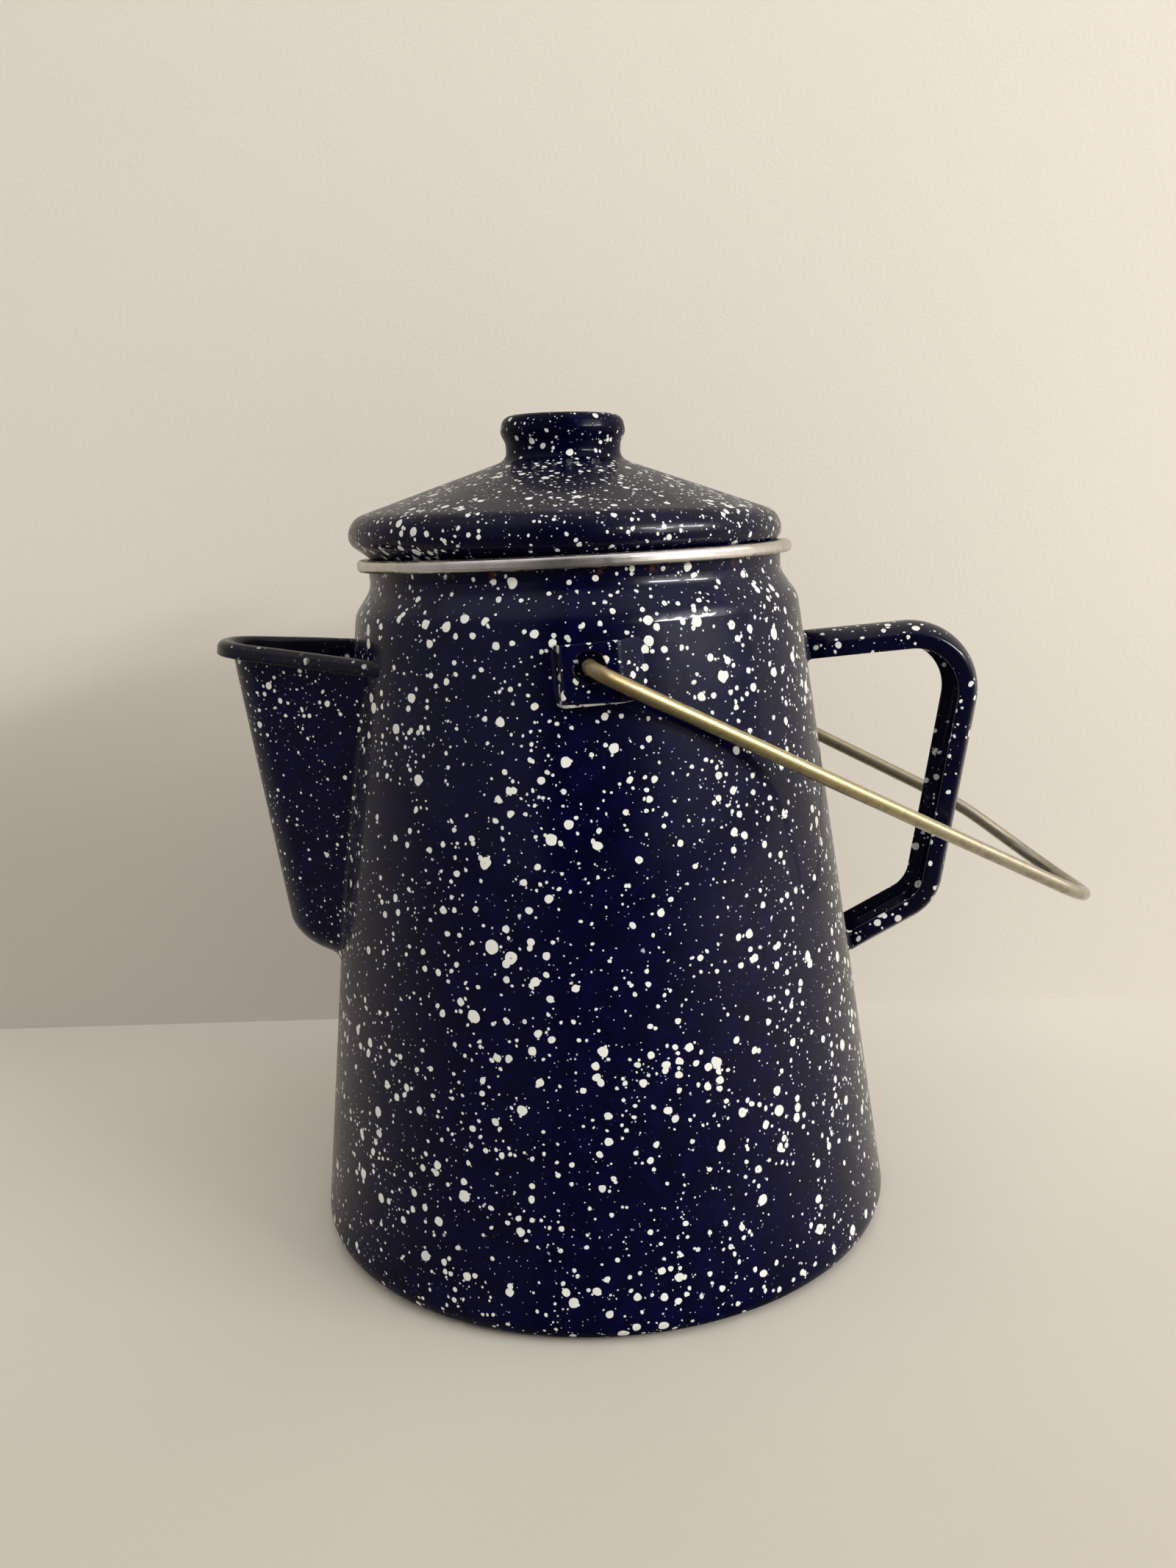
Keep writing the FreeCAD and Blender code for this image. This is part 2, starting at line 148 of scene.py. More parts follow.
def rounded(corners, radii, run=4.0, turn=math.radians(9), closed=False):
    """Points along straight runs joined by tangent arcs. Works for 2-D and 3-D corners."""
    corners = [Vector(c).to_3d() for c in corners]
    count = len(corners)
    inner = range(count) if closed else range(1, count - 1)
    points = [] if closed else [corners[0]]
    for order, i in enumerate(inner):
        corner = corners[i]
        back = (corners[i - 1] - corner).normalized()
        ahead = (corners[(i + 1) % count] - corner).normalized()
        radius = radii[order]
        half = back.angle(ahead) / 2
        if radius <= 0 or half > math.pi / 2 - 1e-4:
            points.append(corner)
            continue
        reach = radius / math.tan(half)
        centre = corner + (back + ahead).normalized() * (radius / math.sin(half))
        start = corner + back * reach - centre
        end = corner + ahead * reach - centre
        sweep = math.pi - 2 * half
        steps = max(2, math.ceil(sweep / turn))
        for k in range(steps + 1):
            points.append(centre + start.slerp(end, k / steps).normalized() * radius)
    if not closed:
        points.append(corners[-1])
    return split_runs(points, run, closed)


def split_runs(points, run, closed=False):
    """Add points so that no straight stretch is longer than run."""
    out = []
    last = len(points) if closed else len(points) - 1
    for i in range(last):
        a, b = points[i], points[(i + 1) % len(points)]
        parts = max(1, math.ceil((b - a).length / run))
        out += [a.lerp(b, k / parts) for k in range(parts)]
    if not closed:
        out.append(points[-1])
    return out


def mesh_object(name, bm):
    bmesh.ops.recalc_face_normals(bm, faces=bm.faces)
    mesh = bpy.data.meshes.new(name)
    bm.to_mesh(mesh)
    bm.free()
    mesh.shade_smooth()
    piece = bpy.data.objects.new(name, mesh)
    bpy.context.scene.collection.objects.link(piece)
    return piece


def grid_object(name, rows, wrap_rows=False, wrap_columns=False, cap=True):
    """A smooth mesh over rows of points in millimetres. Open sides are closed with a face."""
    bm = bmesh.new()
    grid = [[bm.verts.new(p * MM) for p in row] for row in rows]
    row_count, column_count = len(grid), len(grid[0])
    for i in range(row_count if wrap_rows else row_count - 1):
        for j in range(column_count if wrap_columns else column_count - 1):
            below, right = (i + 1) % row_count, (j + 1) % column_count
            bm.faces.new((grid[i][j], grid[i][right], grid[below][right], grid[below][j]))
    bmesh.ops.remove_doubles(bm, verts=bm.verts, dist=1e-7)
    if cap:
        rims = [e for e in bm.edges if e.is_boundary]
        bmesh.ops.holes_fill(bm, edges=rims, sides=0)
    return mesh_object(name, bm)


def revolved(name, outline, segments=192, place=None):
    """Turn a closed outline of (radius, height) points about Z; place moves each point."""
    rows = []
    for k in range(segments):
        angle = 2 * math.pi * k / segments
        row = [Vector((p.x * math.cos(angle), p.x * math.sin(angle), p.y)) for p in outline]
        rows.append([place(p) for p in row] if place else row)
    bm = bmesh.new()
    grid = [[bm.verts.new(p * MM) for p in row] for row in rows]
    for i in range(segments):
        for j in range(len(outline)):
            ahead, right = (i + 1) % segments, (j + 1) % len(outline)
            corners = [grid[i][j], grid[i][right], grid[ahead][right], grid[ahead][j]]
            if outline[j].x > 1e-6 and outline[right].x > 1e-6:
                bm.faces.new(corners)
            elif outline[j].x > 1e-6:
                bm.faces.new((corners[0], corners[1], corners[3]))
            elif outline[right].x > 1e-6:
                bm.faces.new((corners[0], corners[1], corners[2]))
    bmesh.ops.remove_doubles(bm, verts=bm.verts, dist=1e-7)
    loose = [v for v in bm.verts if not v.link_faces]
    bmesh.ops.delete(bm, geom=loose, context="VERTS")
    return mesh_object(name, bm)


def to_cone(point, direction, embed=0.0):
    """Run from a point outside the body along a direction until it is embed deep in the cone."""
    low, high = 0.0, 40.0
    for _ in range(40):
        middle = (low + high) / 2
        p = point + direction * middle
        if math.hypot(p.x, p.y) > cone_r(p.z) - embed:
            low = middle
        else:
            high = middle
    return point + direction * low


def finish_piece(piece, body, slot, material, *nodes):
    piece.data.materials.clear()
    piece.data.materials.append(material)
    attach(piece, body)
    if nodes:
        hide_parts(*nodes)


def weld_strip(name, crease, radius, closed=False, taper=0.0):
    """The enamel that fills the corner between a welded piece and the body's cone.

    crease holds (point on the cone, outward normal of the piece's wall) pairs.
    """
    steps = 7
    rows = []
    length = [0.0]
    for i in range(1, len(crease)):
        length.append(length[-1] + (crease[i][0] - crease[i - 1][0]).length)
    for i, (point, wall) in enumerate(crease):
        size = radius
        if taper > 0:
            end = min(length[i], length[-1] - length[i])
            size = radius * (0.25 + 0.75 * smooth_step(end / taper))
        body = cone_normal(point)
        size *= 1 + 0.16 * noise.noise(point * 0.22)
        shift = size / (1 + wall.dot(body))
        centre = point + (wall + body) * shift
        row = []
        for k in range(steps + 1):
            share = k / steps
            spot = centre + (-body).slerp(-wall, share) * size
            miss = cone_r(spot.z) - math.hypot(spot.x, spot.y)
            if miss > -0.4:
                flat = Vector((spot.x, spot.y, 0)).normalized()
                spot += flat * max(miss, 0) * (1 - share)
            row.append(spot)
        row[0] -= body * 0.05
        row[-1] -= wall * 0.05
        row.append(point - wall * 0.35 - body * 0.35)
        rows.append(row)
    return grid_object(name, rows, wrap_rows=closed, wrap_columns=True)


def smooth_step(share):
    share = min(1.0, max(0.0, share))
    return share * share * (3 - 2 * share)


# ---- spout ----

def mouth_point(along, side):
    """A point of the spout's mouth plane, run back from the nose, and to one side."""
    reach = along / math.sqrt(1 + SPOUT_MOUTH_FALL ** 2)
    return Vector((SPOUT_NOSE[0] + reach, side, SPOUT_NOSE[1] - SPOUT_MOUTH_FALL * reach))


SPOUT_UP = Vector((-SPOUT_LEAN, 0, 1))
MOUTH_NORMAL = Vector((SPOUT_MOUTH_FALL, 0, 1)).normalized()


def floor_depth(point):
    """How far down the spout's lean a point of the mouth plane lies above the slanted floor."""
    rise = point.z - SPOUT_FOOT[1] + SPOUT_FOOT_SLOPE * (point.x - SPOUT_FOOT[0])
    return rise / (1 - SPOUT_FOOT_SLOPE * SPOUT_LEAN)


def spout_row(inset, place, embed=EMBED, side_steps=30, nose_steps=30):
    """One line round the V, from the body on the rear side, round the nose, to the front side."""
    sine, cosine = math.sin(SPOUT_HALF_ANGLE), math.cos(SPOUT_HALF_ANGLE)
    radius = max(SPOUT_NOSE_R - inset, SPOUT_MIN_R)
    centre = SPOUT_NOSE_R + (inset - SPOUT_NOSE_R + radius) / sine
    touch = (centre - radius * sine, radius * cosine)

    def at(run, sign):
        return place(mouth_point(touch[0] + run * cosine, sign * (touch[1] + run * sine)))

    low, high = 0.0, 60.0
    for _ in range(40):
        middle = (low + high) / 2
        p = at(middle, 1)
        if math.hypot(p.x, p.y) > cone_r(p.z) - embed:
            low = middle
        else:
            high = middle
    row = [at(low * (1 - k / side_steps), 1) for k in range(side_steps)]
    for k in range(nose_steps + 1):
        angle = (math.pi - 2 * SPOUT_HALF_ANGLE) * (0.5 - k / nose_steps)
        arc = (centre - radius * math.cos(angle), radius * math.sin(angle))
        row.append(place(mouth_point(arc[0], arc[1])))
    row += [at(low * k / side_steps, -1) for k in range(1, side_steps + 1)]
    return row


def spout_wall_rows(inset, lift, top, embed=EMBED):
    """Rows from the middle of the floor out, round the foot and up the wall."""
    bend = SPOUT_FOOT_ROUND - inset
    rows = []

    def row(extra, above):
        def place(point):
            return point - SPOUT_UP * (floor_depth(point) - lift - above)
        return spout_row(inset + extra, place, embed)

    for k in range(8):
        share = k / 8
        rows.append(row(SPOUT_FLOOR_END - inset + (bend - SPOUT_FLOOR_END + inset) * share, 0))
    for k in range(12):
        angle = math.pi / 2 * k / 12
        rows.append(row(bend * (1 - math.sin(angle)), bend * (1 - math.cos(angle))))
    for k in range(33):
        share = k / 32

        def place(point, share=share):
            full = floor_depth(point) - lift - bend
            return point - SPOUT_UP * (full + (top - full) * share)
        rows.append(spout_row(inset, place, embed))
    return rows


def lip_rows():
    """The curled lip: its section runs up the outer wall, round the curl and down the inner wall."""
    section = rounded(LIP_CORNERS, LIP_ROUNDS, run=0.9, turn=math.radians(14))
    rows = []
    for point in section[1:-1]:
        out, up = point.x, point.y
        share = smooth_step((-up - 0.5) / 3.0) if out < 0.6 else 0.0
        axis = MOUTH_NORMAL.lerp(SPOUT_UP, share)

        def place(base, out=out, up=up, axis=axis):
            ripple = 0.10 * noise.noise(base * 0.11) if out > 0.6 else 0.0
            return base + axis * (up + ripple)
        rows.append(spout_row(-out, place))
    return rows


def spout_crease():
    """Points along the spout's joint with the body, with the wall's normal at each."""
    rows = spout_wall_rows(0.0, 0.0, LIP_DROP, embed=0.0)
    return [row_end(rows, i, 0) for i in range(len(rows) - 1, -1, -1)] + \
        [row_end(rows, i, -1) for i in range(1, len(rows))]


def row_end(rows, i, end):
    """The first or last point of a row, where it meets the body, and the wall's normal there."""
    near = 1 if end == 0 else -2
    point = rows[i][end]
    along = point - rows[i][near]
    if along.length < 1e-4:
        along = Vector((1, 0, 0))
    up = rows[min(i + 1, len(rows) - 1)][end] - rows[max(i - 1, 0)][end]
    wall = along.cross(up)
    if wall.length < 1e-6:
        wall = Vector((0, 0, -1))
    wall.normalize()
    if wall.dot(point - Vector(SPOUT_INSIDE)) < 0:
        wall = -wall
    return point.copy(), wall


def build_spout(material, weld_material):
    outer = spout_wall_rows(0.0, 0.0, LIP_DROP)
    inner = spout_wall_rows(SHEET, SHEET, LIP_DROP)
    rows = outer + lip_rows() + inner[::-1]
    piece = grid_object("spout_shell", rows, wrap_rows=True)
    finish_piece(piece, "pot", "enamel", material, "spout")
    weld = weld_strip("spout_weld", spout_crease(), WELD_SPOUT_R, taper=9.0)
    finish_piece(weld, "pot", "enamel", weld_material)


# ---- handle ----

def handle_section():
    """A channel with a crowned outer face, as (sideways, inward) points."""
    half, sheet, depth = HANDLE_WIDTH / 2, HANDLE_SHEET, HANDLE_DEPTH
    lip, ridge, valley = 0.52, 1.5, 1.2
    shares = [k / 10 for k in range(-8, 9)]
    outer = [(half * k, HANDLE_CROWN * k * k) for k in shares]
    inner = [((half - sheet) * k, sheet + HANDLE_CROWN * k * k) for k in reversed(shares)]
    low = sheet + HANDLE_CROWN
    corners = [(-half, depth), (-half, HANDLE_CROWN)] + outer + [
        (half, HANDLE_CROWN), (half, depth), (half - sheet, depth), (half - sheet, low),
    ] + inner + [(sheet - half, low), (sheet - half, depth)]
    flat = [0] * len(shares)
    radii = [lip, ridge] + flat + [ridge, lip, lip, valley] + flat + [valley, lip]
    return rounded(corners, radii, run=1.0, turn=math.radians(12), closed=True)


def build_handle(material, weld_material):
    """The strap is swept short of the body, then run on to it, with a weld at each end."""
    top_r, low_r = cone_r(HANDLE_TOP_Z), cone_r(HANDLE_LOW_Z)
    top_slope = (HANDLE_TOP_CORNER[1] - HANDLE_TOP_Z) / (HANDLE_TOP_CORNER[0] - top_r)
    low_slope = (HANDLE_LOW_CORNER[1] - HANDLE_LOW_Z) / (HANDLE_LOW_CORNER[0] - low_r)
    top_clear, low_clear = 12.0, 7.2
    start = Vector((top_r + top_clear, 0, HANDLE_TOP_Z + top_slope * top_clear))
    end = Vector((low_r + low_clear, 0, HANDLE_LOW_Z + low_slope * low_clear))
    corners = [start, Vector((HANDLE_TOP_CORNER[0], 0, HANDLE_TOP_CORNER[1])),
               Vector((HANDLE_LOW_CORNER[0], 0, HANDLE_LOW_CORNER[1])), end]
    path = rounded(corners, [HANDLE_TOP_ROUND, HANDLE_LOW_ROUND], run=3.0, turn=math.radians(4))
    section = handle_section()
    across = Vector((0, 1, 0))
    rows = []
    for i, point in enumerate(path):
        ahead = (path[min(i + 1, len(path) - 1)] - path[max(i - 1, 0)]).normalized()
        inward = ahead.cross(across).normalized()
        if inward.dot(Vector(HANDLE_GAP) - point) < 0:
            inward = -inward
        sway = 0.25 * noise.noise(Vector((0, 0, i * 0.09)))
        rows.append([point + across * (p.x + sway) + inward * p.y for p in section])
    creases = []
    for row, ahead in ((rows[0], path[0] - path[1]), (rows[-1], path[-1] - path[-2])):
        ahead.normalize()
        crease = []
        for j, p in enumerate(row):
            along = (row[(j + 1) % len(row)] - row[j - 1]).normalized()
            wall = along.cross(ahead).normalized()
            crease.append((to_cone(p, ahead), wall))
        creases.append(crease)
    rows.insert(0, [to_cone(p, (path[0] - path[1]).normalized(), EMBED) for p in rows[0]])
    rows.append([to_cone(p, (path[-1] - path[-2]).normalized(), EMBED) for p in rows[-1]])
    piece = grid_object("handle_channel", rows, wrap_columns=True)
    finish_piece(piece, "pot", "enamel", material, "handle")
    piece.visible_glossy = False   # so that the body beside it mirrors the plain room alone
    for name, crease in zip(("handle_top_weld", "handle_low_weld"), creases):
        outer, outer_wall = crease[2]
        middle = sum((point for point, _ in crease), Vector()) / len(crease)
        sign = 1 if outer_wall.dot(outer - middle) > 0 else -1
        weld = weld_strip(name, [(p, n * sign) for p, n in crease], WELD_HANDLE_R, closed=True)
        finish_piece(weld, "pot", "enamel", weld_material)


# ---- ears ----

def build_ears(material):
    """The pressed ears keep the drawn shape, with the soft edges that a coat of enamel leaves."""
    for node, half_turn in (("bail_ear_front", False), ("bail_ear_rear", True)):
        bm = bmesh.new()
        bm.from_mesh(frame["nodes"][node].data)
        bmesh.ops.remove_doubles(bm, verts=bm.verts, dist=1e-6)
        piece = mesh_object(node + "_pressing", bm)
        remesh = piece.modifiers.new("even", "REMESH")
        remesh.mode = "VOXEL"
        remesh.voxel_size = 0.16 * MM
        soften = piece.modifiers.new("soften", "SMOOTH")
        soften.factor = 0.5
        soften.iterations = 9
        apply_modifiers(piece)
        finish_piece(piece, "pot", "enamel", material, node)
        for side in (0, 1):
            name = node + "_weld_" + "ab"[side]
            weld = weld_strip(name, ear_crease(side, half_turn), WELD_EAR_R, taper=2.5)
            finish_piece(weld, "pot", "enamel", material)


def apply_modifiers(piece):
    depsgraph = bpy.context.evaluated_depsgraph_get()
    mesh = bpy.data.meshes.new_from_object(piece.evaluated_get(depsgraph))
    piece.modifiers.clear()
    piece.data = mesh
    mesh.shade_smooth()


def ear_crease(side, half_turn):
    """The line where one flank of an ear meets the body."""
    tangent_y = -cone_r(EAR_LOW_Z)
    front = Vector((EAR_FRONT[side], tangent_y - EAR_STANDOFF, EAR_LOW_Z))
    foot = Vector((EAR_FOOT[side], tangent_y + EAR_FOOT_DEPTH, EAR_LOW_Z))
    upward = Vector((0, TAPER, 1))
    pivot = Vector((0, tangent_y, PIVOT_Z))
    turn = Matrix.Rotation(EAR_ROLL, 3, Vector((0, -1, 0)))
    about = Matrix.Rotation(math.pi, 3, "Z") if half_turn else Matrix.Identity(3)
    crease = []
    for k in range(20):
        rise = upward * (0.3 + (EAR_HEIGHT - 0.6) * k / 19)
        start = turn @ (front + rise - pivot) + pivot
        run = (turn @ (foot - front)).normalized()
        wall = run.cross(turn @ upward).normalized()
        if wall.x * (1 if side else -1) < 0:
            wall = -wall
        crease.append((about @ to_cone(start, run), about @ wall))
    return crease


# ---- bail ----

def bail_point(along, side, lift=0.0):
    ahead = Vector((math.cos(BAIL_REST_ANGLE), 0, -math.sin(BAIL_REST_ANGLE)))
    above = Vector((math.sin(BAIL_REST_ANGLE), 0, math.cos(BAIL_REST_ANGLE)))
    return Vector((0, side, PIVOT_Z)) + ahead * along + above * lift


def build_bail(material):
    close_in = (BAIL_END_HALF - BAIL_KNEE[1]) / (BAIL_LENGTH - BAIL_KNEE[0])
    bends = [bail_point(along, BAIL_KNEE[1] + close_in * (along - BAIL_KNEE[0]), lift)
             for along, lift in reversed(REAR_ARM_BENDS)]
    corners = [
        bail_point(0, -BAIL_TIP_Y),
        bail_point(0, -BAIL_HALF_SPAN),
        bail_point(BAIL_KNEE[0], -BAIL_KNEE[1]),
        bail_point(BAIL_LENGTH, -BAIL_END_HALF),
        bail_point(BAIL_LENGTH, BAIL_END_HALF),
        *bends,
        bail_point(BAIL_KNEE[0], BAIL_KNEE[1], REAR_KNEE_LIFT),
        bail_point(0, BAIL_HALF_SPAN),
        bail_point(0, BAIL_TIP_Y),
    ]
    radii = [BAIL_ELBOW_ROUND, BAIL_KNEE_ROUND, BAIL_END_ROUND, BAIL_END_ROUND,
             REAR_ARM_ROUND, REAR_ARM_ROUND, BAIL_KNEE_ROUND, BAIL_ELBOW_ROUND]
    path = rounded(corners, radii, run=2.0, turn=math.radians(4))
    hooked = 8                     # points at each end that stay true, where the hooks are
    for i in range(hooked, len(path) - hooked):
        spot = path[i] * 0.025
        sway = Vector((0, noise.noise(spot), noise.noise(spot + Vector((9, 9, 9)))))
        path[i] = path[i] + sway * 0.22
    sides = 32
    rows = []
    side = Vector((1, 0, 0))
    for i, point in enumerate(path):
        ahead = (path[min(i + 1, len(path) - 1)] - path[max(i - 1, 0)]).normalized()
        side = (side - ahead * side.dot(ahead)).normalized()
        up = side.cross(ahead)
        ring = [side * math.cos(2 * math.pi * k / sides) + up * math.sin(2 * math.pi * k / sides)
                for k in range(sides)]
        if i in (0, len(path) - 1):
            outward = ahead if i else -ahead
            ends = [(0.55, 0.0), (0.9, -0.12)]
            caps = [[point + r * WIRE_R * s + outward * d for r in ring] for s, d in ends]
            full = [point + r * WIRE_R - outward * 0.45 for r in ring]
            rows += caps + [full] if i == 0 else [full] + caps[::-1]
        else:
            rows.append([point + r * WIRE_R for r in ring])
    piece = grid_object("bail_bent_wire", rows, wrap_columns=True)
    finish_piece(piece, "bail", "bail_steel", material, "bail_wire")


# ---- lid knob ----

def seated(point):
    """Move a point drawn about the pot's axis to where the loose lid lies on the rim."""
    arm = Vector((point.x, point.y, point.z - LID_TILT_Z))
    turned = Matrix.Rotation(LID_TILT, 3, "Y") @ arm
    return turned + Vector((LID_SHIFT_X, 0, LID_TILT_Z))


def build_knob(material):
    def cone_z(radius):
        return LID_CROWN[1] - LID_SLOPE * (radius - LID_CROWN[0])

    # Both outlines are (radius, height) points: up the outside, then back down the inside.
    outer = rounded([
        (22.5, cone_z(22.5) - 0.12), (15.5, cone_z(15.5) + 0.15), (15.7, 219.4), (17.1, 222.2),
        (16.2, 226.5), (0, 227.3),
    ], [3.2, 3.2, 2.6, 2.8], run=0.8, turn=math.radians(8))
    inner = rounded([
        (0, 226.3), (14.6, 225.3), (14.4, 218.6), (14.4, cone_z(14.4)), (22.5, cone_z(22.5) - 0.35),
    ], [1.6, 2.0, 0], run=2.0, turn=math.radians(20))
    piece = revolved("lid_knob_cap", outer + inner, place=seated)
    finish_piece(piece, "lid", "lid_enamel", material, "lid_knob")


# ---- materials ----

def node(tree, kind, links=None, **settings):
    """A shader node with its properties set, and its inputs set or linked by name or index."""
    made = tree.nodes.new("ShaderNode" + kind)
    for name, value in settings.items():
        setattr(made, name, value)
    for key, value in (links or {}).items():
        if isinstance(value, bpy.types.NodeSocket):
            tree.links.new(value, made.inputs[key])
        else:
            made.inputs[key].default_value = value
    return made


def calc(tree, operation, *values, clamp=False):
    return node(tree, "Math", dict(enumerate(values)), operation=operation, use_clamp=clamp).outputs[0]


def ramp(tree, value, low, high, out_low=0.0, out_high=1.0):
    """A smooth step from out_low to out_high as value goes from low to high."""
    links = {0: value, 1: low, 2: high, 3: out_low, 4: out_high}
    return node(tree, "MapRange", links, interpolation_type="SMOOTHSTEP").outputs[0]


def noise_value(tree, coords, size, detail=2.0, rough=0.5):
    """Noise with features about size metres across."""
    links = {"Vector": coords, "Scale": 1 / size, "Detail": detail, "Roughness": rough}
    return node(tree, "TexNoise", links).outputs[0]


def distance(tree, first, second):
    """How long a line with these two parts is."""
    squares = [calc(tree, "MULTIPLY", part, part) for part in (first, second)]
    return calc(tree, "SQRT", calc(tree, "ADD", *squares))


def mix_colour(tree, share, first, second):
    made = node(tree, "Mix", data_type="RGBA")
    for socket, value in ((made.inputs[0], share), (made.inputs[6], first), (made.inputs[7], second)):
        if isinstance(value, bpy.types.NodeSocket):
            tree.links.new(value, socket)
        else:
            socket.default_value = value
    return made.outputs[2]


def shaken(tree, coords, size, amount, seed):
    """Coordinates pushed about by noise, so that round dots turn irregular."""
    moved = node(tree, "VectorMath", {0: coords, 1: seed}, operation="ADD").outputs[0]
    push = node(tree, "TexNoise", {"Vector": moved, "Scale": 1 / size, "Detail": 1.0})
    centred = node(tree, "VectorMath", {0: push.outputs["Color"], 1: (0.5, 0.5, 0.5)},
                   operation="SUBTRACT").outputs[0]
    scaled = node(tree, "VectorMath", {0: centred, 3: amount}, operation="SCALE").outputs[0]
    return node(tree, "VectorMath", {0: moved, 1: scaled}, operation="ADD").outputs[0]


def droplets(tree, coords, cell, radius, smallest, crowding, edge):
    """Droplets of white scattered one to a cell, all lengths in metres.

    Returns how far inside a droplet each point is, from 0 to 1, its distance from the middle
    as a share of the droplet's radius, and three random numbers for the droplet.
    """
    cells = node(tree, "TexVoronoi", {"Vector": coords, "Scale": 1 / cell, "Randomness": 1.0})
    chance = node(tree, "SeparateColor", {0: cells.outputs["Color"]}).outputs
    spread = calc(tree, "POWER", chance[0], 1.6)
    size = calc(tree, "MULTIPLY_ADD", spread, radius * (1 - smallest), radius * smallest)
    size = calc(tree, "MULTIPLY", size, crowding)
    away = calc(tree, "MULTIPLY", cells.outputs["Distance"], cell)
    inside = calc(tree, "DIVIDE", calc(tree, "SUBTRACT", size, away), edge, clamp=True)
    share = calc(tree, "DIVIDE", away, size)
    return inside, share, chance


ENAMEL_BLUE = (0.0016, 0.0015, 0.0315)
ENAMEL_INK = (0.0009, 0.0009, 0.0160)
SPECK_WHITE = (0.84, 0.86, 0.83, 1)
SPECK_THIN = (0.16, 0.20, 0.30, 1)
RUST = (0.10, 0.032, 0.010, 1)

# Droplet layers: cell, radius and edge in metres, smallest size, and how white they are.
SPECK_LAYERS = [
    (0.0054, 0.00170, 0.00013, 0.45, 1.0),
    (0.0034, 0.00108, 0.00010, 0.40, 1.0),
    (0.0024, 0.00058, 0.00008, 0.45, 1.0),
    (0.0016, 0.00031, 0.00007, 0.50, 0.80),
]


def enamel(name, seed=(0, 0, 0), crowd=1.0, cell_scale=1.0, largest=1.0, extra=None, haze=0.0,
           coat=0.38, gloss=1.22, depth=0.88):
    """Cobalt enamel, glossy and a little wavy, splashed with white droplets of many sizes.

    crowd, cell_scale and largest set how many droplets there are and how big the biggest get;
    extra lays wear or painted edge highlights over the finish; gloss is the base's IOR and depth darkens
    the blue.
    """
    material = bpy.data.materials.new(name)
    material.use_nodes = True
    tree = material.node_tree
    shader = tree.nodes["Principled BSDF"]
    place = node(tree, "TexCoord").outputs["Object"]
    coords = shaken(tree, place, 0.0022, 0.0009, seed)
    patches = noise_value(tree, coords, 0.020, 3.0, 0.6)
    crowding = ramp(tree, patches, 0.30, 0.68, 0.66 * crowd, 1.12 * crowd)
    white = None
    for cell, radius, edge, smallest, strength in SPECK_LAYERS:
        reach = radius * (largest if radius > 0.0008 else 1.0)
        inside, share, chance = droplets(tree, coords, cell * cell_scale, reach, smallest,
                                         crowding, edge)
        dim = ramp(tree, chance[1], 0.0, 0.45, 0.80 * strength, strength)
        inside = calc(tree, "MULTIPLY", inside, dim)
        if white is None:
            pin = ramp(tree, share, 0.10, 0.30, 1.0, 0.0)
            has_pin = calc(tree, "GREATER_THAN", chance[2], 0.72)
            hole = calc(tree, "MULTIPLY", calc(tree, "MULTIPLY", pin, has_pin), 0.55)
            inside = calc(tree, "MULTIPLY", inside, calc(tree, "SUBTRACT", 1.0, hole))
            white = inside
        else:
            white = calc(tree, "MAXIMUM", white, inside)
    mottle = noise_value(tree, coords, 0.006, 4.0, 0.65)
    ink, cobalt = (tuple(c * depth for c in tone) + (1,) for tone in (ENAMEL_INK, ENAMEL_BLUE))
    blue = mix_colour(tree, ramp(tree, mottle, 0.35, 0.70), ink, cobalt)
    thin = mix_colour(tree, ramp(tree, white, 0.0, 0.40), blue, SPECK_THIN)
    cloud = noise_value(tree, coords, 0.0009, 2.0)
    clouded = ramp(tree, cloud, 0.3, 0.7, 0.0, 0.22)
    speck = mix_colour(tree, clouded, SPECK_WHITE, (0.68, 0.71, 0.69, 1))
    colour = mix_colour(tree, ramp(tree, white, 0.30, 0.95), thin, speck)
    smears = noise_value(tree, coords, 0.035, 5.0, 0.7)
    roughness = ramp(tree, smears, 0.35, 0.75, 0.22 + haze, 0.34 + haze)
    if extra is not None:
        colour, roughness = extra(tree, place, colour, roughness)
    tree.links.new(colour, shader.inputs["Base Color"])
    tree.links.new(roughness, shader.inputs["Roughness"])
    shader.inputs["IOR"].default_value = gloss
    shader.inputs["Coat Weight"].default_value = coat
    shader.inputs["Coat Roughness"].default_value = 0.05
    shader.inputs["Coat IOR"].default_value = 1.30
    waves = noise_value(tree, place, 0.028, 2.0, 0.45)
    wave_bump = node(tree, "Bump", {"Height": waves, "Distance": 0.00022, "Strength": 1.0})
    peel = noise_value(tree, place, 0.0022, 2.0)
    peel_bump = node(tree, "Bump", {"Height": peel, "Distance": 0.000008, "Strength": 1.0,
                                    "Normal": wave_bump.outputs[0]})
    raised = node(tree, "Bump", {"Height": white, "Distance": 0.00002, "Strength": 1.0,
                                 "Normal": peel_bump.outputs[0]})
    tree.links.new(raised.outputs[0], shader.inputs["Normal"])
    return material


def rusted(tree, place, colour, roughness, spots):
    """Lay rust over a finish wherever spots is 1."""
    grain = noise_value(tree, place, 0.0012, 3.0)
    rusty = mix_colour(tree, grain, RUST, (0.035, 0.016, 0.010, 1))
    rough = calc(tree, "MAXIMUM", roughness, calc(tree, "MULTIPLY", spots, 0.75))
    return mix_colour(tree, spots, colour, rusty), rough


def rim_rust(tree, place, colour, roughness):
    """Rust that creeps out from under the steel band."""
    height = node(tree, "SeparateXYZ", {0: place}).outputs[2]
    rust_low, band_foot = 0.1850, 0.1874
    near = ramp(tree, height, rust_low, band_foot)
    spots = ramp(tree, noise_value(tree, place, 0.0045, 4.0, 0.7), 0.56, 0.64)
    return rusted(tree, place, colour, roughness, calc(tree, "MULTIPLY", near, spots))


